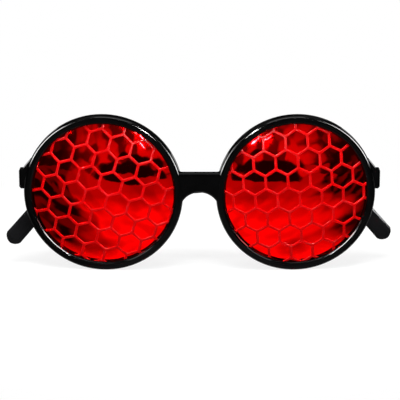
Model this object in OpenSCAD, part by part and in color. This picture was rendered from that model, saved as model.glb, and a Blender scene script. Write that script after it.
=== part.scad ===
// Costume glasses: a round moulded front, two domed honeycomb lenses and two
// folding temples on three-knuckle hinges.
// The front stands upright and looks towards -Y. +X is the wearer's left, +Z is up,
// the rims stand on z = 0, and the temples are drawn folded behind the front.

/* [Rims] */
// Outer diameter of each rim
rim_d = 66.4; // [58:0.2:76]
// Width of the rim's face, from its outside to the lens opening
rim_w = 3.5; // [3:0.1:5]
// Depth of the rim from front to back
rim_depth = 4.8; // [4.4:0.1:6.5]
// Rounding of the rim's front edges
rim_round = 1.3; // [0.4:0.1:1.5]
// Distance between the centres of the two lenses
lens_spacing = 80.2; // [78:0.1:90]
// Turn of each rim that sets its outer side back, in degrees
wrap = 4; // [0:0.5:6]

/* [Bridge] */
// Height of the bridge's top edge above the lens centres
bridge_rise = 9.5; // [7:0.1:11]
// Height of the bridge bar at its middle
bridge_h = 8.4; // [5:0.1:9]
// Depth of the bridge from front to back
bridge_depth = 3.8; // [2.6:0.1:4.6]
// Radius of the arch over the nose
arch_r = 8.4; // [8:0.1:10]
// Rounding of the bridge's top edges
bridge_round = 1.3; // [0.4:0.1:1.8]
// Radius of the corners above the bridge, where it meets the rims
bridge_corner = 1.5; // [0.5:0.1:3]
// Bevel along the arch's edges
bridge_bevel = 0.7; // [0.2:0.1:1.2]

/* [Nose pads] */
// How far the pads stand out behind the rims
pad_reach = 3.2; // [2:0.1:5]
// Radius of a pad's rounded edge
pad_r = 1.5; // [1:0.1:1.55]
// Angle below the bridge at which a pad begins, in degrees
pad_from = 14; // [8:1:24]
// Angle that a pad spans along its rim, in degrees
pad_span = 34; // [20:1:44]

/* [End pieces] */
// Height of an end piece
end_h = 8; // [7:0.1:10]
// Height of an end piece's middle above the lens centres
end_rise = 5.5; // [4:0.1:8]
// How far an end piece stands out beyond its rim
end_out = 1.9; // [1.6:0.1:4]
// How far an end piece's front face lies behind the rim's front
end_setback = 1.2; // [0.4:0.1:2]
// Thickness of the end piece's back behind the rim
end_back = 0.9; // [0.8:0.1:2]

/* [Lenses] */
// Radius of the dome that the tops of the ridges lie on
dome_r = 96; // [85:1:140]
// Thickness of a lens at its ridges
lens_t = 1.8; // [1.4:0.1:2.2]
// How far a lens reaches into the groove of its rim
lens_lip = 0.9; // [0.6:0.1:1.2]
// How far a lens lies behind the rim's front at the opening
lens_setback = 1.4; // [1.2:0.1:1.8]
// Gap between a lens and its groove
lens_gap = 0.06; // [0.03:0.01:0.12]
// Distance between neighbouring cells
cell_pitch = 9.25; // [7:0.05:12]
// Width of the ridges between the cells
ridge_w = 1.1; // [0.8:0.05:1.8]
// Width of the plain margin between the honeycomb and the rim
lens_margin = 0.2; // [0.1:0.1:1.5]
// Depth of a cell's flat floor below the dome
cell_depth = 0.3; // [0.2:0.05:0.6]
// Turn of the right lens's honeycomb, in degrees
right_grid_turn = 14.5; // [-30:0.5:30]
// Shift of the right lens's honeycomb to the wearer's left
right_grid_x = -2.9; // [-5:0.1:5]
// Shift of the right lens's honeycomb down
right_grid_down = 1.4; // [-5:0.1:5]
// Turn of the left lens's honeycomb, in degrees
left_grid_turn = -3.5; // [-30:0.5:30]
// Shift of the left lens's honeycomb to the wearer's left
left_grid_x = -3.3; // [-5:0.1:5]
// Shift of the left lens's honeycomb down
left_grid_down = 1.7; // [-5:0.1:5]

/* [Temples] */
// Length of the straight arm from the hinge to the bend over the ear
arm_l = 125.5; // [110:0.5:135]
// Downward slope of the arm, in degrees
arm_slope = 4.3; // [4:0.1:6]
// Radius of the bend over the ear
bend_r = 21; // [14:0.5:28]
// Downward angle of the paddle behind the ear, in degrees
ear_angle = 49; // [40:1:60]
// Length from the bend to the centre of the paddle's round end
paddle_l = 12.4; // [8:0.1:20]
// Width of the paddle at its round end
paddle_w = 7.8; // [6:0.1:9]
// Height of the arm along its middle
arm_h = 5.2; // [4:0.1:5.6]
// Thickness of the temple at its root
root_t = 3.2; // [3:0.1:4]
// Thickness of the arm along its middle
arm_t = 2.4; // [2:0.1:2.6]
// Thickness of the paddle
paddle_t = 2.6; // [2:0.1:2.8]
// Gap between the temple's root and the end piece when it is open
butt_gap = 0.2; // [0.1:0.05:0.4]

/* [Hinges] */
// Diameter of the hinge knuckles
knuckle_d = 2.8; // [2.4:0.1:3]
// Diameter of the hinge screw's shank
screw_d = 1.2; // [1:0.05:1.4]
// Radial clearance between the hinge screw and the knuckles
screw_fit = 0.05; // [0.02:0.01:0.1]
// Height of a hinge over its three knuckles
hinge_h = 5.4; // [4.6:0.1:6]
// Gap between neighbouring knuckles
knuckle_gap = 0.1; // [0.05:0.01:0.2]
// Gap between the knuckles and the plastic beside them
knuckle_clear = 0.15; // [0.1:0.01:0.3]
// Thickness of the hinge leaves
leaf_t = 0.8; // [0.6:0.05:1]
// Length of the temple's hinge leaf
leaf_l = 10.5; // [9:0.5:14]
// Gap round a leaf in its recess
leaf_gap = 0.05; // [0.02:0.01:0.1]
// Diameter of a leaf screw's shank
fixing_d = 0.9; // [0.7:0.05:1]
// Diameter of a leaf screw's head
fixing_head_d = 1.5; // [1.3:0.05:1.7]
// Length of a leaf screw
fixing_l = 2.3; // [1.8:0.1:2.5]

/* [Folded pose] */
// How far the left temple, the inner one, leans in towards the rims, in degrees
inner_lean = 1.2; // [0.5:0.1:1.3]
// How far the right temple, the outer one, leans out over the left, in degrees
outer_lean = 1.4; // [1.4:0.1:4]

/* [Hidden] */
$fn = 96;
RIGHT = -1;
LEFT = 1;
past = 1;

rim_r = rim_d / 2;
open_r = rim_r - rim_w;
lens_x = lens_spacing / 2;
lens_r = open_r + lens_lip;
comb_r = open_r - lens_margin;
dome_mid = lens_setback + sqrt(pow(dome_r, 2) - pow(open_r, 2));
cell_w = cell_pitch - ridge_w;
smallest_cell = 0.43;

// The bridge lies where the turned rims come nearest to each other.
nasal_front = -rim_r * sin(wrap);
bridge_front = nasal_front + 0.3;
bridge_half = lens_x - sqrt(pow(rim_r, 2) - pow(bridge_rise, 2)) * cos(wrap) + rim_w / 2;
arch_top = bridge_rise - bridge_h;

// The outer sides of the rims, the end pieces and the hinges.
temporal_front = rim_r * sin(wrap);
end_front = temporal_front + end_setback;
end_face = temporal_front + rim_depth * cos(wrap) + end_back;
out_x = lens_x + rim_r * cos(wrap) + end_out;
inner_x = out_x - root_t;
knuckle_r = knuckle_d / 2;
hinge_x = inner_x - knuckle_clear - knuckle_r;
hinge_y = end_face + knuckle_r + knuckle_clear;
knuckle_h = (hinge_h - 2 * knuckle_gap) / 3;
leaf_wall = 0.75;
leaf_out_x = out_x - leaf_wall;
fixing_head_h = leaf_t / 2;
front_fixing_z = hinge_h / 2 - fixing_head_d / 2 - 0.2;
front_fixing_x = inner_x + (leaf_out_x - inner_x) / 2;
leaf_start = end_face + butt_gap + 0.6;
temple_fixings = [leaf_start + 0.5 * leaf_l, leaf_start + 0.82 * leaf_l];

// The arm's line in its own plane: distance back from the hinge, and height.
root_y = end_face + butt_gap - hinge_y;
bend_z = -arm_l * tan(arm_slope);
bend_end = [
    arm_l + bend_r * (sin(ear_angle) - sin(arm_slope)),
    bend_z - bend_r * (cos(arm_slope) - cos(ear_angle))
];
paddle_r = paddle_w / 2;
swell_from = arm_l - 24;
swell_l = 38;
tip_reach = bend_end[0] + paddle_l * cos(ear_angle);

// Depth of the whole, so that its middle lies over the origin.
front_most = dome_mid * cos(wrap) - dome_r;
back_most = hinge_y + inner_x - hinge_x + paddle_t + tip_reach * sin(outer_lean);
depth_shift = -(front_most + back_most) / 2;

black = [0.03, 0.03, 0.035];
red = [0.85, 0.02, 0.03];
steel = [0.7, 0.7, 0.72];

function arc(x, y, r, from, to, n = 8) = [
    for (i = [0:n]) let (a = from + (to - from) * i / n) [x + r * cos(a), y + r * sin(a)]
];
function ease(x) = let (u = min(1, max(0, x))) u * u * (3 - 2 * u);
function blend(a, b, x) = a + (b - a) * ease(x);

// Puts what is drawn about the lens centres in its place over the origin.
module placed() {
    translate([0, depth_shift, rim_r]) children();
}

// Mirrors what is drawn for the wearer's left to the side asked for.
module on_side(side) {
    placed() mirror([side < 0 ? 1 : 0, 0, 0]) children();
}

// A rim's own frame: depth along +Z from the rim's front, and Y down the face.
module in_rim(side) {
    translate([side * lens_x, 0, 0]) rotate([0, 0, side * wrap]) rotate([-90, 0, 0]) children();
}

// Turns a temple's pieces from the open pose to the folded one.
module folded(side) {
    angle = side == LEFT ? 90 + inner_lean : 90 - outer_lean;
    on_side(side)
        translate([hinge_x, hinge_y, 0]) rotate([0, 0, angle]) translate([-hinge_x, -hinge_y, 0])
            children();
}

module rim_ring() {
    back_round = 0.8;
    profile = concat(
        arc(open_r + rim_round, rim_round, rim_round, 180, 270),
        arc(rim_r - rim_round, rim_round, rim_round, -90, 0),
        arc(rim_r - back_round, rim_depth - back_round, back_round, 0, 90),
        [[open_r + back_round / 2, rim_depth], [open_r, rim_depth - back_round / 2]]
    );
    rotate_extrude() polygon(profile);
}

// The dome that a lens is cut from, made larger by gap for the groove.
module dome(gap = 0) {
    low = dome_mid - dome_r - past;
    intersection() {
        translate([0, 0, dome_mid]) difference() {
            sphere(dome_r + gap, $fn = 180);
            sphere(dome_r - lens_t - gap, $fn = 180);
        }
        translate([0, 0, low]) cylinder(r = lens_r + gap, h = rim_depth - low);
    }
}

module bridge() {
    low = -arch_r / 2;
    back = bridge_front + bridge_depth;
    section = concat(
        [[bridge_front, low], [back, low]],
        arc(back - bridge_round, bridge_rise - bridge_round, bridge_round, 0, 90, 6),
        arc(bridge_front + bridge_round, bridge_rise - bridge_round, bridge_round, 90, 180, 6)
    );
    difference() {
        translate([-bridge_half, 0, 0]) rotate([90, 0, 90]) linear_extrude(2 * bridge_half) polygon(section);
        translate([0, bridge_front - past, arch_top - arch_r]) rotate([-90, 0, 0])
            cylinder(r = arch_r, h = bridge_depth + 2 * past);
        for (face = [-1, 1])
            translate([0, bridge_front + (1 + face) * bridge_depth / 2, arch_top - arch_r])
                rotate([face * 90, 0, 0]) translate([0, 0, -past])
                    cylinder(r1 = arch_r + bridge_bevel + past, r2 = arch_r - past, h = bridge_bevel + 2 * past);
    }
}

// The hollow corners above the bridge: each is tangent to its top and to a rim.
module bridge_corners() {
    from_lens = rim_r + bridge_corner;
    rise = bridge_rise + bridge_corner;
    run = sqrt(pow(from_lens, 2) - pow(rise, 2));
    function on_rim(r) = [lens_x - run * r / from_lens, rise * r / from_lens];
    for (side = [RIGHT, LEFT]) mirror([side < 0 ? 1 : 0, 0, 0])
        translate([0, bridge_front + bridge_depth - bridge_round, 0]) rotate([90, 0, 0])
            linear_extrude(bridge_depth - 2 * bridge_round) difference() {
                polygon([
                    [lens_x - run, bridge_rise - past], [lens_x - run, rise], on_rim(rim_r),
                    on_rim(rim_r - past), [lens_x - run * (rim_r - past) / from_lens, bridge_rise - past]
                ]);
                translate([lens_x - run, rise]) circle(bridge_corner);
            }
}

module nose_pad(side) {
    pad_mid = open_r + rim_w / 2;
    in_rim(side) hull()
        for (p = [[0, -pad_r], [0.45, pad_reach - pad_r], [0.8, pad_reach - pad_r], [1, -pad_r]])
            let (a = pad_from + pad_span * p[0])
                translate([-side * pad_mid * cos(a), pad_mid * sin(a), rim_depth + p[1]])
                    sphere(pad_r, $fn = 24);
}

// The block beside a rim that carries the hinge, for the wearer's left.
module end_piece() {
    top = end_rise + end_h / 2;
    low = end_rise - end_h / 2;
    corner = 0.8;
    flare = 24;
    outline = concat(
        [
            [lens_x + (open_r + 0.8) * cos(flare), (open_r + 0.8) * sin(flare)],
            [lens_x + rim_r * cos(wrap) * cos(flare), rim_r * sin(flare)],
            [out_x - 2, top + 0.7],
            [out_x - 1.6, top]
        ],
        arc(out_x - corner, top - corner, corner, 90, 0),
        [[out_x, low + corner], [out_x - corner, low], [lens_x + open_r, low]]
    );
    plan = concat(
        [[lens_x + open_r * cos(flare) - 2, end_face], [lens_x + open_r * cos(flare) - 2, end_front]],
        arc(out_x - 1, end_front + 1, 1, -90, 0),
        [[out_x, end_face]]
    );
    intersection() {
        translate([0, end_face + past, 0]) rotate([90, 0, 0])
            linear_extrude(end_face - end_front + 2 * past) polygon(outline);
        translate([0, 0, low - past]) linear_extrude(end_h + 10) polygon(plan);
    }
}

// Screw holes and recess in the back of an end piece, for the wearer's left.
module end_piece_cuts() {
    translate([hinge_x - knuckle_r - past, end_face - leaf_t, end_rise - hinge_h / 2 - leaf_gap])
        cube([
            leaf_out_x + leaf_gap - hinge_x + knuckle_r + past,
            leaf_t + past, hinge_h + 2 * leaf_gap
        ]);
    front_fixings() rotate([90, 0, 0]) cylinder(d = fixing_d + 2 * leaf_gap, h = fixing_l + 0.2);
}

module front_fixings() {
    for (s = [-1, 1]) translate([front_fixing_x, end_face, end_rise + s * front_fixing_z]) children();
}

module front_frame() color(black) placed() difference() {
    union() {
        for (side = [RIGHT, LEFT]) {
            in_rim(side) rim_ring();
            nose_pad(side);
            mirror([side < 0 ? 1 : 0, 0, 0]) end_piece();
        }
        bridge();
        bridge_corners();
    }
    for (side = [RIGHT, LEFT]) {
        in_rim(side) {
            dome(lens_gap);
            translate([0, 0, -3 * past]) cylinder(r = open_r, h = rim_depth + end_back + 6 * past);
        }
        mirror([side < 0 ? 1 : 0, 0, 0]) end_piece_cuts();
    }
}

// One cell of the honeycomb: a flat-floored hexagon sunk in the dome.
module cell(x, y, turn) {
    heading = atan2(y, x);
    tilt = norm([x, y]) / dome_r * 180 / PI;
    translate([0, 0, dome_mid])
        rotate([0, 0, heading]) rotate([0, -tilt, 0]) rotate([0, 0, turn + 30 - heading])
            translate([0, 0, -dome_r - past]) cylinder(d = cell_w / cos(30), h = cell_depth + past, $fn = 6);
}

module lens(side, turn, grid_x, grid_down) {
    rows = ceil((comb_r + cell_pitch) / (cell_pitch * sin(60)));
    top = dome_mid - dome_r - past;
    color(red) placed() in_rim(side) difference() {
        dome();
        intersection() {
            translate([0, 0, top]) cylinder(r = comb_r, h = rim_depth - top);
            for (j = [-rows:rows], i = [-rows:rows])
                let (
                    u = (i + j / 2) * cell_pitch,
                    v = j * cell_pitch * sin(60),
                    x = grid_x + u * cos(turn) - v * sin(turn),
                    y = grid_down + u * sin(turn) + v * cos(turn)
                )
                    if (norm([x, y]) < comb_r + smallest_cell * cell_pitch) cell(x, y, turn);
        }
    }
}

// Stations along a temple: distance back, height, angle down, height and thickness.
function temple_stations() = concat(
    [[root_y, 0, 0, end_h, root_t]],
    [for (i = [0:10]) let (u = 3 + (arm_l - 3) * i / 10) station(u, -u * tan(arm_slope), arm_slope)],
    [
        for (i = [1:8])
            let (a = arm_slope + (ear_angle - arm_slope) * i / 8)
                station(
                    arm_l + bend_r * (sin(a) - sin(arm_slope)),
                    bend_z - bend_r * (cos(arm_slope) - cos(a)), a
                )
    ],
    [for (i = [1:6]) let (b = 90 * pow(i / 6.3, 0.8)) tip_station(paddle_r * sin(b), cos(b))]
);
function station(u, w, a) = [
    u, w, a,
    u < arm_l / 2
        ? blend(end_h, arm_h, (u - 3) / 34)
        : blend(arm_h, 0.9 * paddle_w, (u - swell_from) / swell_l),
    u < arm_l / 2 ? blend(root_t, arm_t, (u - 6) / 40) : blend(arm_t, paddle_t, (u - swell_from) / swell_l)
];
function tip_station(past_tip, share) = [
    bend_end[0] + (paddle_l + past_tip) * cos(ear_angle),
    bend_end[1] - (paddle_l + past_tip) * sin(ear_angle),
    ear_angle,
    paddle_w * share,
    paddle_t * (0.45 + 0.55 * share)
];

// A temple in the open pose, for the wearer's left, before its cuts: a bar with flat
// sides and rounded edges.
module temple_arm() {
    sides = 20;
    half_side = 180 / sides;
    roundness = 0.5;
    reach = pow(cos(half_side), roundness);
    stations = temple_stations();
    points = [
        for (s = stations, k = [0:sides - 1])
            let (
                c = cos(360 * k / sides + half_side),
                d = sin(360 * k / sides + half_side),
                across = sign(c) * pow(abs(c), roundness) / reach * s[4] / 2,
                up = sign(d) * pow(abs(d), roundness) / reach * s[3] / 2
            )
                [
                    inner_x + s[4] / 2 + across,
                    hinge_y + s[0] + up * sin(s[2]),
                    end_rise + s[1] + up * cos(s[2])
                ]
    ];
    last = len(stations) - 1;
    faces = concat(
        [[for (k = [0:sides - 1]) k]],
        [[for (k = [sides - 1:-1:0]) last * sides + k]],
        [
            for (i = [0:last - 1], k = [0:sides - 1])
                let (a = i * sides + k, b = i * sides + (k + 1) % sides)
                    [a, a + sides, b]
        ],
        [
            for (i = [0:last - 1], k = [0:sides - 1])
                let (a = i * sides + k, b = i * sides + (k + 1) % sides)
                    [b, a + sides, b + sides]
        ]
    );
    polyhedron(points, faces);
}

module temple_fixing_places() {
    for (y = temple_fixings) translate([inner_x, y, end_rise]) rotate([0, 90, 0]) children();
}

module temple(side) color(black) folded(side) difference() {
    temple_arm();
    translate([inner_x - past, leaf_start - leaf_gap, end_rise - hinge_h / 2 - leaf_gap])
        cube([leaf_t + past, leaf_l + 2 * leaf_gap, hinge_h + 2 * leaf_gap]);
    temple_fixing_places() cylinder(d = fixing_d + 2 * leaf_gap, h = fixing_l + 0.2);
}

// A hinge knuckle with its bore, from its lower end, on the hinge axis.
module knuckle(index) {
    translate([hinge_x, hinge_y, end_rise - hinge_h / 2 + index * (knuckle_h + knuckle_gap)])
        children();
}

module knuckle_bore() {
    translate([hinge_x, hinge_y, end_rise - hinge_h / 2 - past])
        cylinder(d = screw_d + 2 * screw_fit, h = hinge_h + 2 * past);
}

module countersink() {
    translate([0, 0, -past]) cylinder(d = fixing_d + 2 * leaf_gap, h = leaf_t + 2 * past);
    cylinder(d1 = fixing_head_d + 2 * leaf_gap, d2 = fixing_d + 2 * leaf_gap, h = fixing_head_h);
}

module front_leaf(side) color(steel) on_side(side) difference() {
    union() {
        translate([hinge_x - knuckle_r, end_face - leaf_t, end_rise - hinge_h / 2])
            cube([leaf_out_x - hinge_x + knuckle_r, leaf_t, hinge_h]);
        for (index = [0, 2]) knuckle(index) {
            cylinder(d = knuckle_d, h = knuckle_h);
            translate([-knuckle_r, end_face - hinge_y - leaf_t / 2, 0])
                cube([leaf_t, hinge_y - end_face + leaf_t / 2, knuckle_h]);
        }
    }
    knuckle_bore();
    front_fixings() rotate([90, 0, 0]) countersink();
}

module temple_leaf(side) color(steel) folded(side) difference() {
    union() {
        translate([inner_x, leaf_start, end_rise - hinge_h / 2])
            cube([leaf_t, leaf_l, hinge_h]);
        knuckle(1) {
            cylinder(d = knuckle_d, h = knuckle_h);
            translate([0, knuckle_r - leaf_t, 0])
                cube([inner_x - hinge_x + leaf_t / 2, leaf_t, knuckle_h]);
        }
    }
    knuckle_bore();
    temple_fixing_places() countersink();
}

module hinge_screw(side) color(steel) on_side(side) {
    head_d = 0.86 * knuckle_d;
    head_h = 0.5;
    translate([hinge_x, hinge_y, end_rise - hinge_h / 2]) difference() {
        union() {
            cylinder(d = screw_d, h = hinge_h + head_h / 2);
            translate([0, 0, hinge_h]) cylinder(d = head_d, h = head_h);
        }
        translate([-head_d, -head_d / 10, hinge_h + head_h / 2]) cube([2 * head_d, head_d / 5, head_h]);
    }
}

// A countersunk screw that goes down +Z from its flat head.
module fixing_screw() {
    difference() {
        union() {
            cylinder(d1 = fixing_head_d, d2 = fixing_d, h = fixing_head_h);
            cylinder(d = fixing_d, h = fixing_l);
        }
        translate([-fixing_head_d, -fixing_head_d / 12, -past])
            cube([2 * fixing_head_d, fixing_head_d / 6, past + fixing_head_h / 2]);
    }
}

module front_leaf_screws(side) color(steel) on_side(side)
    front_fixings() rotate([90, 0, 0]) fixing_screw();

module temple_leaf_screws(side) color(steel) folded(side)
    temple_fixing_places() fixing_screw();

front_frame();
lens(RIGHT, right_grid_turn, right_grid_x, right_grid_down);  // right_lens
lens(LEFT, left_grid_turn, left_grid_x, left_grid_down);  // left_lens
temple(RIGHT);  // right_temple
temple(LEFT);  // left_temple
front_leaf(RIGHT);  // right_front_leaf
front_leaf(LEFT);  // left_front_leaf
temple_leaf(RIGHT);  // right_temple_leaf
temple_leaf(LEFT);  // left_temple_leaf
hinge_screw(RIGHT);  // right_hinge_screw
hinge_screw(LEFT);  // left_hinge_screw
front_leaf_screws(RIGHT);  // right_front_leaf_screws
front_leaf_screws(LEFT);  // left_front_leaf_screws
temple_leaf_screws(RIGHT);  // right_temple_leaf_screws
temple_leaf_screws(LEFT);  // left_temple_leaf_screws
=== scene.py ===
import math
import random

import bmesh
import bpy
from mathutils import Matrix, Vector


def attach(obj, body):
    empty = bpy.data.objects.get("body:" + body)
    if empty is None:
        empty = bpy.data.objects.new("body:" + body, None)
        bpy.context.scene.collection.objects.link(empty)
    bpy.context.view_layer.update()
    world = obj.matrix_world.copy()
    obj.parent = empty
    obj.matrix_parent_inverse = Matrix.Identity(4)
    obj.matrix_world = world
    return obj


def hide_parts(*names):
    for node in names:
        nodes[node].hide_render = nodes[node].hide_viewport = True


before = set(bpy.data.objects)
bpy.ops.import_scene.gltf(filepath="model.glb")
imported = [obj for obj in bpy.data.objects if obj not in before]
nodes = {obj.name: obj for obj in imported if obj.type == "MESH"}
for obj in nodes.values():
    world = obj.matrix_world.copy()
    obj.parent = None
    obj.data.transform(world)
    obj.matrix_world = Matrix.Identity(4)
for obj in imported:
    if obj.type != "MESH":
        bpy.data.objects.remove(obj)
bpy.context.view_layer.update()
scene = bpy.context.scene

# A millimetre, in metres.
MM = 0.001

# Sizes that the lenses share with the solids, in millimetres and degrees.
RIM_R, RIM_W, LENS_X, WRAP = 33.2, 3.5, 40.1, 4.0
OPEN_R = RIM_R - RIM_W
DOME_R, LENS_T, SETBACK = 96.0, 1.8, 1.4
DOME_MID = SETBACK + math.sqrt(DOME_R ** 2 - OPEN_R ** 2)
PITCH, RIDGE_W, CELL_DEPTH = 9.25, 1.1, 0.3
DEPTH_SHIFT = -6.891
# A lens's side, the turn of its comb, and the shift of a cell's middle from the lens's middle.
GRIDS = {"right_lens": (-1, 14.5, -2.9, 1.4), "left_lens": (1, -3.5, -3.3, 1.7)}

# Radii of the lens and of its comb, which both run a little way under the rim, first measured flat
# and then along the dome.
LENS_R, COMB_R = OPEN_R + 0.9, OPEN_R + 0.3
LENS_ARC, COMB_ARC = (DOME_R * math.asin(r / DOME_R) for r in (LENS_R, COMB_R))


# Node helpers.
def new_material(name):
    """An empty material, with its tree and the tree's output."""
    material = bpy.data.materials.new(name)
    material.use_nodes = True
    tree = material.node_tree
    tree.nodes.clear()
    return material, tree, tree.nodes.new("ShaderNodeOutputMaterial")


def add(tree, kind, inputs=None, **props):
    """A new node, with its properties, and its inputs set to values or linked to sockets."""
    node = tree.nodes.new(kind)
    for key, value in props.items():
        setattr(node, key, value)
    for key, value in (inputs or {}).items():
        if isinstance(value, bpy.types.NodeSocket):
            tree.links.new(value, node.inputs[key])
        else:
            node.inputs[key].default_value = value
    return node


def maths(tree, op, a, b=0.0):
    """The result of an operation on one or two sockets or values."""
    return add(tree, "ShaderNodeMath", {0: a, 1: b}, operation=op).outputs[0]


def product(tree, first, *others):
    """The product of two or more sockets or values."""
    result = first
    for other in others:
        result = maths(tree, "MULTIPLY", result, other)
    return result


def vectors(tree, op, a, b=(0, 0, 0), output="Vector"):
    """The result of an operation on one or two vectors: a vector, or the output Value."""
    return add(tree, "ShaderNodeVectorMath", {0: a, 1: b}, operation=op).outputs[output]


def step(tree, value, low, high, to_low=0.0, to_high=1.0):
    """A smooth step of a value from one level to another."""
    inputs = {"Value": value, "From Min": low, "From Max": high, "To Min": to_low, "To Max": to_high}
    return add(tree, "ShaderNodeMapRange", inputs, interpolation_type="SMOOTHSTEP").outputs[0]


def ramp(tree, fac, stops):
    """A colour ramp through stops of position and colour."""
    node = add(tree, "ShaderNodeValToRGB", {0: fac})
    elements = node.color_ramp.elements
    while len(elements) < len(stops):
        elements.new(0.5)
    for element, (position, colour) in zip(elements, stops):
        element.position = position
        element.color = (*colour, 1)
    return node.outputs[0]


def noise(tree, scale, detail=2.0, where=None):
    """Noise at a place, or over the object's own coordinates."""
    if where is None:
        where = add(tree, "ShaderNodeTexCoord").outputs["Object"]
    inputs = {"Vector": where, "Scale": scale, "Detail": detail}
    return add(tree, "ShaderNodeTexNoise", inputs).outputs["Fac"]


def bumpy(tree, strength, distance, height):
    """A normal bent by a height. The distance is in metres."""
    inputs = {"Strength": strength, "Distance": distance, "Height": height}
    return add(tree, "ShaderNodeBump", inputs).outputs[0]


def mix(tree, share, none, full):
    """A shader that goes from one to another as its share rises."""
    return add(tree, "ShaderNodeMixShader", {0: share, 1: none, 2: full}).outputs[0]


def emission(tree, strength):
    """White light."""
    return add(tree, "ShaderNodeEmission", {"Color": (1, 1, 1, 1), "Strength": strength}).outputs[0]


def principled(tree, out, inputs):
    """Gives a material the principled shader."""
    shader = add(tree, "ShaderNodeBsdfPrincipled", inputs)
    tree.links.new(shader.outputs[0], out.inputs[0])


# Materials of the object.
def black_plastic(name, ior, low, high):
    """Polished moulded plastic with a faint unevenness in its gloss."""
    material, tree, out = new_material(name)
    tone = ramp(tree, noise(tree, 140), [(0.3, (low, low, low * 1.1)), (0.7, (high, high, high * 1.1))])
    rough = step(tree, noise(tree, 60), 0.35, 0.65, 0.05, 0.09)
    principled(tree, out, {
        "Base Color": tone, "Roughness": rough, "IOR": ior,
        "Normal": bumpy(tree, 0.012, 0.0002, noise(tree, 900, 3.0))})
    return material


def hinge_steel():
    """Nickelled steel with a fine rolled grain."""
    material, tree, out = new_material("hinge_steel")
    tone = ramp(tree, noise(tree, 700), [(0.3, (0.55, 0.54, 0.51)), (0.7, (0.68, 0.67, 0.64))])
    grain = noise(tree, 2500)
    rough = step(tree, grain, 0.3, 0.7, 0.22, 0.4)
    principled(tree, out, {
        "Base Color": tone, "Metallic": 1.0, "Roughness": rough,
        "Normal": bumpy(tree, 0.05, 0.0001, grain)})
    return material


def lens_ridges():
    """The raised comb and the lens's margin: glossy red plastic."""
    material, tree, out = new_material("lens_ridges")
    tone = ramp(tree, noise(tree, 120), [(0.3, (0.44, 0.0, 0.0003)), (0.7, (0.52, 0.0, 0.0008))])
    rough = step(tree, noise(tree, 300), 0.3, 0.7, 0.26, 0.34)
    principled(tree, out, {"Base Color": tone, "Roughness": rough, "IOR": 1.12})
    return material


def lens_cells():
    """The floors of the cells: a red mirror that shows the room round it."""
    material, tree, out = new_material("lens_cells")
    tone = ramp(tree, noise(tree, 90), [(0.3, (0.90, 0.0, 0.0001)), (0.7, (1.0, 0.0001, 0.0003))])
    rough = step(tree, noise(tree, 200), 0.3, 0.7, 0.03, 0.06)
    principled(tree, out, {
        "Base Color": tone, "Metallic": 1.0, "Roughness": rough,
        "Normal": bumpy(tree, 0.04, 0.0002, noise(tree, 260, 1.0)),
        "Coat Weight": 1.0, "Coat Roughness": 0.03, "Coat IOR": 1.04})
    return material


def lens_back():
    """The plain inner face of a lens, seen through the frame from behind."""
    material, tree, out = new_material("lens_back")
    tone = ramp(tree, noise(tree, 60), [(0.3, (0.42, 0.0, 0.004)), (0.7, (0.5, 0.0, 0.006))])
    rough = step(tree, noise(tree, 90), 0.3, 0.7, 0.10, 0.16)
    principled(tree, out, {"Base Color": tone, "Roughness": rough})
    return material


# Front and temples are one black plastic. The temples' copy has a lighter base: painted reflection, a
# grey that stands for the floor mirrored in the tips.
FRONT_BLACK = black_plastic("front_black", 1.14, 0.0005, 0.0012)
TEMPLE_BLACK_PAINTED_REFLECTION = black_plastic("temple_black_painted_reflection", 1.1, 0.006, 0.009)
STEEL = hinge_steel()
RIDGE, CELL, BACK = lens_ridges(), lens_cells(), lens_back()

for name, obj in nodes.items():
    obj.data.materials.clear()
    if name == "front_frame":
        obj.data.materials.append(FRONT_BLACK)
    elif name in ("right_temple", "left_temple"):
        obj.data.materials.append(TEMPLE_BLACK_PAINTED_REFLECTION)
    elif "lens" in name:
        obj.data.materials.append(CELL)
    else:
        obj.data.materials.append(STEEL)


# The lenses. A lens is drawn flat, as rings round the middle of every cell, cut to the comb's edge,
# given its plain margin, and then bent over the dome.
SIDES, SIDE_PARTS, EDGE_CUTS = 6, 3, 144
SIXTH = math.radians(60)
FLOOR_A = (PITCH - RIDGE_W) / 2 - 0.05
# Apothems of the rings on a cell's floor.
INNER_RINGS = (FLOOR_A * 0.36, FLOOR_A * 0.7)
# Rings of a cell's wall and ridge: apothem, and height over the dome.
CELL_WALL = ((FLOOR_A + 0.10, -0.08), (FLOOR_A + 0.20, -0.015), (FLOOR_A + 0.36, 0.0), (PITCH / 2, 0.0))
# Rings of the margin: distance beyond the comb's edge, and height over the dome.
MARGIN = ((0.10, -0.06), (0.22, -0.01), (0.40, 0.0), (LENS_ARC - COMB_ARC, 0.0))
# Unevenness of the floors. The ripple changes at a share of the apothem and fades to the middle.
TILT, RIPPLE, BULGE = 0.010, 0.030, 0.10
RIPPLE_SPLIT, RIPPLE_FADE = 0.55, 3
SEEDS = {"right_lens": 5, "left_lens": 11}
RIDGE_SLOT, CELL_SLOT, BACK_SLOT = 0, 1, 2
SLACK = 1e-6


def hexagon(turn):
    """Points round a hexagon of unit apothem, with each side in equal parts."""
    corner = 1 / math.cos(SIXTH / 2)
    angles = [turn + SIXTH * (k + 0.5) for k in range(SIDES)]
    corners = [Vector((corner * math.cos(a), corner * math.sin(a))) for a in angles]
    return [corners[k].lerp(corners[(k + 1) % SIDES], s / SIDE_PARTS)
            for k in range(SIDES) for s in range(SIDE_PARTS)]


def apothem(p, turn):
    """Apothem of the hexagon about the origin that passes through the point."""
    normals = (turn, turn + SIXTH, turn + 2 * SIXTH)
    return max(abs(p.x * math.cos(a) + p.y * math.sin(a)) for a in normals)


def on_dome(p):
    """Direction from the dome's centre to the point at this arc length and heading from its top."""
    r = p.length
    if r < SLACK:
        return Vector((0, 0, -1))
    s = math.sin(r / DOME_R)
    return Vector((p.x / r * s, p.y / r * s, -math.cos(r / DOME_R)))


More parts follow.
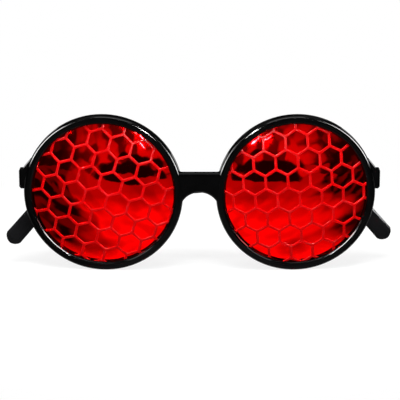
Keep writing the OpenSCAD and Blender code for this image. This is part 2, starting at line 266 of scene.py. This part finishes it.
def comb_cells(name):
    """Middles of a lens's cells, with each floor's tilt and the rise of its points."""
    _, turn_deg, grid_x, grid_y = GRIDS[name]
    turn = math.radians(turn_deg)
    rng = random.Random(SEEDS[name])
    row = PITCH * math.sin(SIXTH)
    span = int(LENS_R / row) + 3
    cells = []
    for j in range(-span, span + 1):
        for i in range(-span, span + 1):
            u, v = (i + j / 2) * PITCH, j * row
            middle = Vector((grid_x + u * math.cos(turn) - v * math.sin(turn),
                             grid_y + u * math.sin(turn) + v * math.cos(turn)))
            tilt = Vector((rng.uniform(-TILT, TILT), rng.uniform(-TILT, TILT)))
            rises = [rng.uniform(-RIPPLE, RIPPLE) for _ in range(2 * SIDES)]
            if middle.length < LENS_R + PITCH:
                cells.append((middle, tilt, rises))
    return turn, cells


def flat_comb(turn, cells):
    """A flat mesh of rings round the middle of every cell, cut to the comb's edge."""
    outline = hexagon(turn)
    count = len(outline)
    apothems = (*INNER_RINGS, FLOOR_A, *(a for a, _ in CELL_WALL))
    comb = bmesh.new()
    for middle, _, _ in cells:
        centre = comb.verts.new((*middle, 0))
        rings = [[comb.verts.new((*(middle + p * a), 0)) for p in outline] for a in apothems]
        for k in range(count):
            after = (k + 1) % count
            comb.faces.new((centre, rings[0][k], rings[0][after])).material_index = CELL_SLOT
            for r in range(len(rings) - 1):
                corners = (rings[r][k], rings[r + 1][k], rings[r + 1][after], rings[r][after])
                slot = CELL_SLOT if r < len(INNER_RINGS) else RIDGE_SLOT
                comb.faces.new(corners).material_index = slot
    bmesh.ops.remove_doubles(comb, verts=comb.verts, dist=1e-4)
    for k in range(EDGE_CUTS):
        a = 2 * math.pi * k / EDGE_CUTS
        out = Vector((math.cos(a), math.sin(a), 0))
        bmesh.ops.bisect_plane(comb, geom=comb.verts[:] + comb.edges[:] + comb.faces[:], dist=1e-5,
                               plane_co=out * COMB_ARC, plane_no=out, clear_outer=True)
    comb.verts.index_update()
    return comb


def floor_height(turn, cell, p):
    """Height of a cell's floor: sunk, a little bulged and tilted, and uneven at its points."""
    middle, tilt, rises = cell
    d = p - middle
    share = min(apothem(d, turn) / FLOOR_A, 1.0)
    sector = (math.atan2(d.y, d.x) - turn) / SIXTH % SIDES
    low, part = int(sector) % SIDES, sector - int(sector)
    ring = 0 if share < RIPPLE_SPLIT else SIDES
    rise = rises[ring + low] * (1 - part) + rises[ring + (low + 1) % SIDES] * part
    return -CELL_DEPTH + BULGE * (1 - share ** 2) + rise * min(1.0, RIPPLE_FADE * share) + tilt.dot(d)


def comb_height(turn, cells, p):
    """Height over the dome at a point of a floor, of a wall or of a ridge's top."""
    cell = min(cells, key=lambda c: (p - c[0]).length_squared)
    d = p - cell[0]
    a = apothem(d, turn)
    if a <= FLOOR_A + SLACK:
        return floor_height(turn, cell, p)
    last = (FLOOR_A, floor_height(turn, cell, cell[0] + d * (FLOOR_A / a)))
    for ring in CELL_WALL:
        if a <= ring[0] + SLACK:
            part = (a - last[0]) / (ring[0] - last[0])
            return last[1] * (1 - part) + ring[1] * part
        last = ring
    return 0.0


def add_margin(flat, heights, faces, slots, edge):
    """The plain margin, ring by ring beyond the comb's edge. Gives the edges of the last ring."""
    rim = sorted({i for ends in edge for i in ends})
    for beyond, ring_height in MARGIN:
        fresh = {}
        for i in rim:
            fresh[i] = len(flat)
            flat.append(flat[i].normalized() * (COMB_ARC + beyond))
            heights.append(max(ring_height, heights[i]))
        faces += [(a, b, fresh[b], fresh[a]) for a, b in edge]
        slots += [RIDGE_SLOT] * len(edge)
        edge = [(fresh[a], fresh[b]) for a, b in edge]
        rim = list(fresh.values())
    return edge


def domed_mesh(name, flat, heights, faces, slots, edge):
    """The flat lens bent over the dome, with its back and its outer wall."""
    fronts = [on_dome(p) * (DOME_R + h) for p, h in zip(flat, heights)]
    backs = [on_dome(p) * (DOME_R - LENS_T) for p in flat]
    shift = len(flat)
    back_faces = [tuple(i + shift for i in reversed(f)) for f in faces]
    wall_faces = [(a, b, b + shift, a + shift) for a, b in edge]
    all_slots = slots + [BACK_SLOT] * len(faces) + [RIDGE_SLOT] * len(edge)
    mesh = bpy.data.meshes.new(name)
    lift = Vector((0, 0, DOME_MID))
    mesh.from_pydata([v + lift for v in fronts + backs], [], faces + back_faces + wall_faces)
    mesh.polygons.foreach_set("material_index", all_slots)
    mesh.polygons.foreach_set("use_smooth", [True] * len(all_slots))
    return mesh


def sharpen_borders(mesh):
    """Turns every face outwards and keeps a sharp edge where two materials meet."""
    work = bmesh.new()
    work.from_mesh(mesh)
    bmesh.ops.recalc_face_normals(work, faces=work.faces)
    for edge in work.edges:
        if len({f.material_index for f in edge.link_faces}) > 1:
            edge.smooth = False
    work.to_mesh(mesh)
    work.free()


def lens_piece(name):
    """A lens with its honeycomb, in place of the plainer solid."""
    side = GRIDS[name][0]
    turn, cells = comb_cells(name)
    comb = flat_comb(turn, cells)
    flat = [Vector(v.co.xy) for v in comb.verts]
    heights = [comb_height(turn, cells, p) for p in flat]
    faces = [tuple(v.index for v in f.verts) for f in comb.faces]
    slots = [f.material_index for f in comb.faces]
    edge = [tuple(v.index for v in e.verts) for e in comb.edges if e.is_boundary]
    comb.free()
    edge = add_margin(flat, heights, faces, slots, edge)
    mesh = domed_mesh(name + "_cells", flat, heights, faces, slots, edge)
    place = (Matrix.Translation((side * LENS_X, DEPTH_SHIFT, RIM_R))
             @ Matrix.Rotation(math.radians(side * WRAP), 4, "Z")
             @ Matrix.Rotation(math.radians(-90), 4, "X"))
    mesh.transform(Matrix.Scale(MM, 4) @ place)
    sharpen_borders(mesh)
    for material in (RIDGE, CELL, BACK):
        mesh.materials.append(material)
    piece = bpy.data.objects.new(name + "_honeycomb", mesh)
    scene.collection.objects.link(piece)
    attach(piece, "front")
    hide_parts(name)


for lens in GRIDS:
    lens_piece(lens)

# Camera: 16 degrees above the front's normal, with a view 165.9 mm wide at the rims.
VIEW_ELEV, VIEW_DISTANCE, VIEW_WIDTH = math.radians(16), 0.8, 0.1659
AIM_ASIDE, AIM_BELOW = 0.0002, 0.0024
to_camera = Vector((0, -math.cos(VIEW_ELEV), math.sin(VIEW_ELEV)))
cam_up = Vector((0, math.sin(VIEW_ELEV), math.cos(VIEW_ELEV)))
aim = Vector((AIM_ASIDE, DEPTH_SHIFT * MM, RIM_R * MM)) - cam_up * AIM_BELOW
cam_data = bpy.data.cameras.new("camera")
cam_data.sensor_width = 36
cam_data.lens = cam_data.sensor_width * VIEW_DISTANCE / VIEW_WIDTH
camera = bpy.data.objects.new("camera", cam_data)
camera.location = aim + to_camera * VIEW_DISTANCE
camera.rotation_mode = "QUATERNION"
camera.rotation_quaternion = (-to_camera).to_track_quat("-Z", "Y")
scene.collection.objects.link(camera)
scene.camera = camera


# Stage: a floor that is seen as endless white, with the object's soft shadow on it.
FLOOR_SIZE = 30
SHADOW_NEAR, SHADOW_FAR, SHADOW_SHARE = 0.09, 0.16, 0.22


def stage_plane(name, size_x, size_y, at, along=(0, 0, 1)):
    """A flat rectangle about a point, with its face turned along a direction."""
    x, y = size_x / 2, size_y / 2
    mesh = bpy.data.meshes.new(name)
    mesh.from_pydata([(-x, -y, 0), (x, -y, 0), (x, y, 0), (-x, y, 0)], [], [(0, 1, 2, 3)])
    plane = bpy.data.objects.new(name, mesh)
    plane.location = at
    plane.rotation_mode = "QUATERNION"
    plane.rotation_quaternion = Vector(along).to_track_quat("Z", "Y")
    scene.collection.objects.link(plane)
    return plane


def by_sight(tree, others, seen):
    """One shader for what is seen, directly or in a mirror or glass, another for light's other rays."""
    path = add(tree, "ShaderNodeLightPath").outputs
    sight = maths(tree, "MAXIMUM", path["Is Camera Ray"], path["Is Glossy Ray"])
    sight = maths(tree, "MAXIMUM", sight, path["Is Transmission Ray"])
    return mix(tree, sight, others, seen)


def floor_material():
    """White where it is seen, with a share of lit paper round the object that takes its shadow."""
    material, tree, out = new_material("floor_white")
    place = add(tree, "ShaderNodeNewGeometry").outputs["Position"]
    greys = [(0.0, (0.25, 0.25, 0.25)), (1.0, (0.27, 0.27, 0.27))]
    tone = ramp(tree, noise(tree, 40, where=place), greys)
    others = add(tree, "ShaderNodeBsdfDiffuse", {"Color": tone}).outputs[0]
    paper = add(tree, "ShaderNodeBsdfDiffuse", {"Color": (0.8, 0.8, 0.8, 1)}).outputs[0]
    away = vectors(tree, "LENGTH", place, output="Value")
    near = step(tree, away, SHADOW_NEAR, SHADOW_FAR, SHADOW_SHARE, 0.0)
    seen = mix(tree, near, emission(tree, 1.0), paper)
    tree.links.new(by_sight(tree, others, seen), out.inputs[0])
    return material


stage_plane("floor", FLOOR_SIZE, FLOOR_SIZE, (0, 0, 0)).data.materials.append(floor_material())

# Cards and walls of the studio that show only in the object's gloss, in metres.
NEAR_LEVEL, ROOM_LEVEL, ROOM_DARK = 1.05, 0.42, 0.05
# The sheet of paper ahead: half its width at the glasses, how it widens and waves, where it dims.
SHEET_HALF, SHEET_SPREAD, SHEET_WAVE = 0.045, 0.52, 0.025
SHEET_NEAR, SHEET_FAR = 0.03, 0.14
# Where the camera's sight goes off an upright face that looks forwards, and the arch of light above
# it: its level, the cosines of the angle from there that bound it, and how softly they do so.
MIRRORED_SIGHT = (0.0, -0.961, -0.276)
ARCH_LEVEL, ARCH_OUTER, ARCH_INNER, ARCH_SOFT = 280.0, 0.34, 0.425, 0.01
# The camera's stand: its middle, its reach, how far its outline waves, its level and its card.
STAND_AT, STAND_REACH, STAND_WAVE, STAND_SOFT = (0.0, -0.30, 0.033), 0.052, 0.009, 0.008
STAND_LEVEL, STAND_CARD, STAND_SQUEEZE = 0.01, (0.30, 0.20), (0.5, 1, 1.15)
# The strip lamp's ends and width, the ceiling's size and place, and what they give.
STRIP_NEAR, STRIP_FAR, STRIP_WIDTH = Vector((0, -0.10, 0.074)), Vector((0, -0.37, 0.195)), 0.0018
CEILING_CARD, CEILING_AT = (0.6, 0.35), (0, 0.05, 0.9)
STRIP_GLOW, CEILING_GLOW = 3000, 5
TABLE_SIZE, TABLE_LIFT = 2.4, 0.0005
WALL_RADIUS, WALL_BASE, WALL_TOP, WALL_PARTS = 1.2, 0.001, 1.6, 48


def glow(name, strength):
    """A material that only gives light."""
    material, tree, out = new_material(name)
    tree.links.new(emission(tree, strength), out.inputs[0])
    return material


def soft_card(name, level_and_cover):
    """A material that glows at a level where it covers what is behind it, and is clear elsewhere."""
    material, tree, out = new_material(name)
    place = add(tree, "ShaderNodeNewGeometry").outputs["Position"]
    level, cover = level_and_cover(tree, place)
    clear = add(tree, "ShaderNodeBsdfTransparent").outputs[0]
    tree.links.new(mix(tree, cover, clear, emission(tree, level)), out.inputs[0])
    return material


def direction_of(tree, place):
    """Direction of a place from the middle between the lenses."""
    return vectors(tree, "NORMALIZE", vectors(tree, "SUBTRACT", place, (0, 0, RIM_R * MM)))


def table(tree, place):
    """The sheet in front, bright near the glasses and dimmer ahead, and the dark table beside it."""
    axes = add(tree, "ShaderNodeSeparateXYZ", {0: place}).outputs
    ahead = product(tree, axes["Y"], -1.0)
    heading = direction_of(tree, place)
    patches, spots = noise(tree, 3.5, 0.0, where=heading), noise(tree, 8.0, 0.0, where=heading)
    sheet_half = maths(tree, "ADD", product(tree, ahead, SHEET_SPREAD), SHEET_HALF)
    beyond = maths(tree, "SUBTRACT", maths(tree, "ABSOLUTE", axes["X"]), sheet_half)
    wavy = maths(tree, "ADD", beyond, step(tree, patches, 0.3, 0.7, -SHEET_WAVE, SHEET_WAVE))
    dimming = step(tree, ahead, SHEET_NEAR, SHEET_FAR, NEAR_LEVEL, ROOM_LEVEL)
    sheet = product(tree, dimming, step(tree, patches, 0.35, 0.65, 0.80, 1.15))
    beside = product(tree, step(tree, spots, 0.38, 0.62, 0.15, 2.6), ROOM_DARK)
    aside = step(tree, wavy, -0.020, 0.030)
    level = add(tree, "ShaderNodeMix", {0: aside, 2: sheet, 3: beside}, data_type="FLOAT").outputs[0]
    return level, step(tree, ahead, 0.0, 0.02)


def walls(tree, place):
    """A dim room, half bright straight ahead, with an arch of light above the mirrored sight."""
    heading = direction_of(tree, place)
    axes = add(tree, "ShaderNodeSeparateXYZ", {0: heading}).outputs
    ahead_x = step(tree, maths(tree, "ABSOLUTE", axes["X"]), 0.25, 0.60, 1.0, 0.0)
    ahead_z = step(tree, axes["Z"], 0.15, 0.5, 1.0, 0.25)
    in_front = step(tree, axes["Y"], -0.15, 0.1, 1.0, 0.0)
    patches = step(tree, noise(tree, 5.5, 0.0, where=heading), 0.38, 0.62, 0.25, 1.4)
    bright = product(tree, ahead_x, ahead_z, ROOM_LEVEL, in_front)
    room = product(tree, maths(tree, "ADD", bright, ROOM_DARK), patches)
    towards = vectors(tree, "DOT_PRODUCT", heading, MIRRORED_SIGHT, output="Value")
    within = step(tree, towards, ARCH_OUTER - ARCH_SOFT, ARCH_OUTER + ARCH_SOFT)
    outside = step(tree, towards, ARCH_INNER - ARCH_SOFT, ARCH_INNER + ARCH_SOFT, 1.0, 0.0)
    risen = step(tree, axes["Z"], 0.0, 0.14)
    arch = product(tree, within, outside, risen, ARCH_LEVEL)
    return maths(tree, "ADD", room, arch), 1.0


def stand(tree, place):
    """The dark body of a camera stand, wider than high, with a soft wavy outline."""
    squeezed = vectors(tree, "MULTIPLY", place, STAND_SQUEEZE)
    from_middle = vectors(tree, "DISTANCE", squeezed, STAND_AT, output="Value")
    wave = step(tree, noise(tree, 14, 0.0, where=place), 0.3, 0.7, -STAND_WAVE, STAND_WAVE)
    wavy = maths(tree, "ADD", from_middle, wave)
    return STAND_LEVEL, step(tree, wavy, STAND_REACH - STAND_SOFT, STAND_REACH + STAND_SOFT, 1.0, 0.0)


def room_walls():
    """A ring of wall round the object, open above."""
    mesh = bpy.data.meshes.new("walls")
    angles = [2 * math.pi * k / WALL_PARTS for k in range(WALL_PARTS)]
    ring = [(WALL_RADIUS * math.cos(a), WALL_RADIUS * math.sin(a)) for a in angles]
    points = [(x, y, z) for z in (WALL_BASE, WALL_TOP) for x, y in ring]
    pairs = [(k, (k + 1) % WALL_PARTS) for k in range(WALL_PARTS)]
    mesh.from_pydata(points, [], [(a, b, b + WALL_PARTS, a + WALL_PARTS) for a, b in pairs])
    room = bpy.data.objects.new("walls", mesh)
    scene.collection.objects.link(room)
    return room


def only_in_reflections(thing):
    """Hides a card or wall from everything but mirror rays."""
    thing.visible_camera = False
    thing.visible_diffuse = False
    thing.visible_shadow = False
    thing.visible_transmission = False
    thing.visible_volume_scatter = False


strip_run = STRIP_FAR - STRIP_NEAR
strip = stage_plane("strip_card", STRIP_WIDTH, strip_run.length, (STRIP_NEAR + STRIP_FAR) / 2,
                    strip_run.cross(Vector((1, 0, 0))))
strip.data.materials.append(glow("strip_glow", STRIP_GLOW))
table_card = stage_plane("table_card", TABLE_SIZE, TABLE_SIZE, (0, 0, TABLE_LIFT))
table_card.data.materials.append(soft_card("table", table))
stand_card = stage_plane("stand_card", *STAND_CARD, STAND_AT, (0, 1, 0))
stand_card.data.materials.append(soft_card("stand", stand))
wall_ring = room_walls()
wall_ring.data.materials.append(soft_card("wall", walls))
ceiling = stage_plane("ceiling_card", *CEILING_CARD, CEILING_AT, (0, 0, -1))
ceiling.data.materials.append(glow("ceiling_glow", CEILING_GLOW))
for card in (strip, table_card, stand_card, wall_ring, ceiling):
    only_in_reflections(card)


def studio_world():
    """White wherever it is seen, and a plain soft light for everything else."""
    world = bpy.data.worlds.new("studio")
    world.use_nodes = True
    tree = world.node_tree
    tree.nodes.clear()
    upward = add(tree, "ShaderNodeTexCoord").outputs["Generated"]
    height = add(tree, "ShaderNodeSeparateXYZ", {0: upward}).outputs["Z"]
    soft_light = step(tree, height, -0.1, 0.8, 0.15, 0.65)
    others, seen = (add(tree, "ShaderNodeBackground", {"Color": (1, 1, 1, 1), "Strength": s}).outputs[0]
                    for s in (soft_light, 1.0))
    add(tree, "ShaderNodeOutputWorld", {0: by_sight(tree, others, seen)})
    return world


scene.world = studio_world()

# Lamps: a softbox on either side of the camera and one overhead, all aimed at the glasses.
SOFTBOX_AIM = Vector((0, 0, 0.035))


def softbox(name, at, size, power):
    """A square or oblong lamp that the camera doesn't see."""
    data = bpy.data.lights.new(name, "AREA")
    data.shape = "RECTANGLE"
    data.size, data.size_y = size
    data.energy = power
    lamp = bpy.data.objects.new(name, data)
    lamp.location = at
    lamp.rotation_mode = "QUATERNION"
    lamp.rotation_quaternion = (SOFTBOX_AIM - Vector(at)).to_track_quat("-Z", "Y")
    lamp.visible_camera = False
    scene.collection.objects.link(lamp)


for side in (-1, 1):
    softbox(f"side_softbox_{side}", (side * 0.53, -0.56, 0.40), (0.22, 0.22), 3.0)
softbox("top_softbox", (0, -0.25, 0.8), (0.5, 0.3), 8.0)

scene.view_settings.view_transform = "Standard"
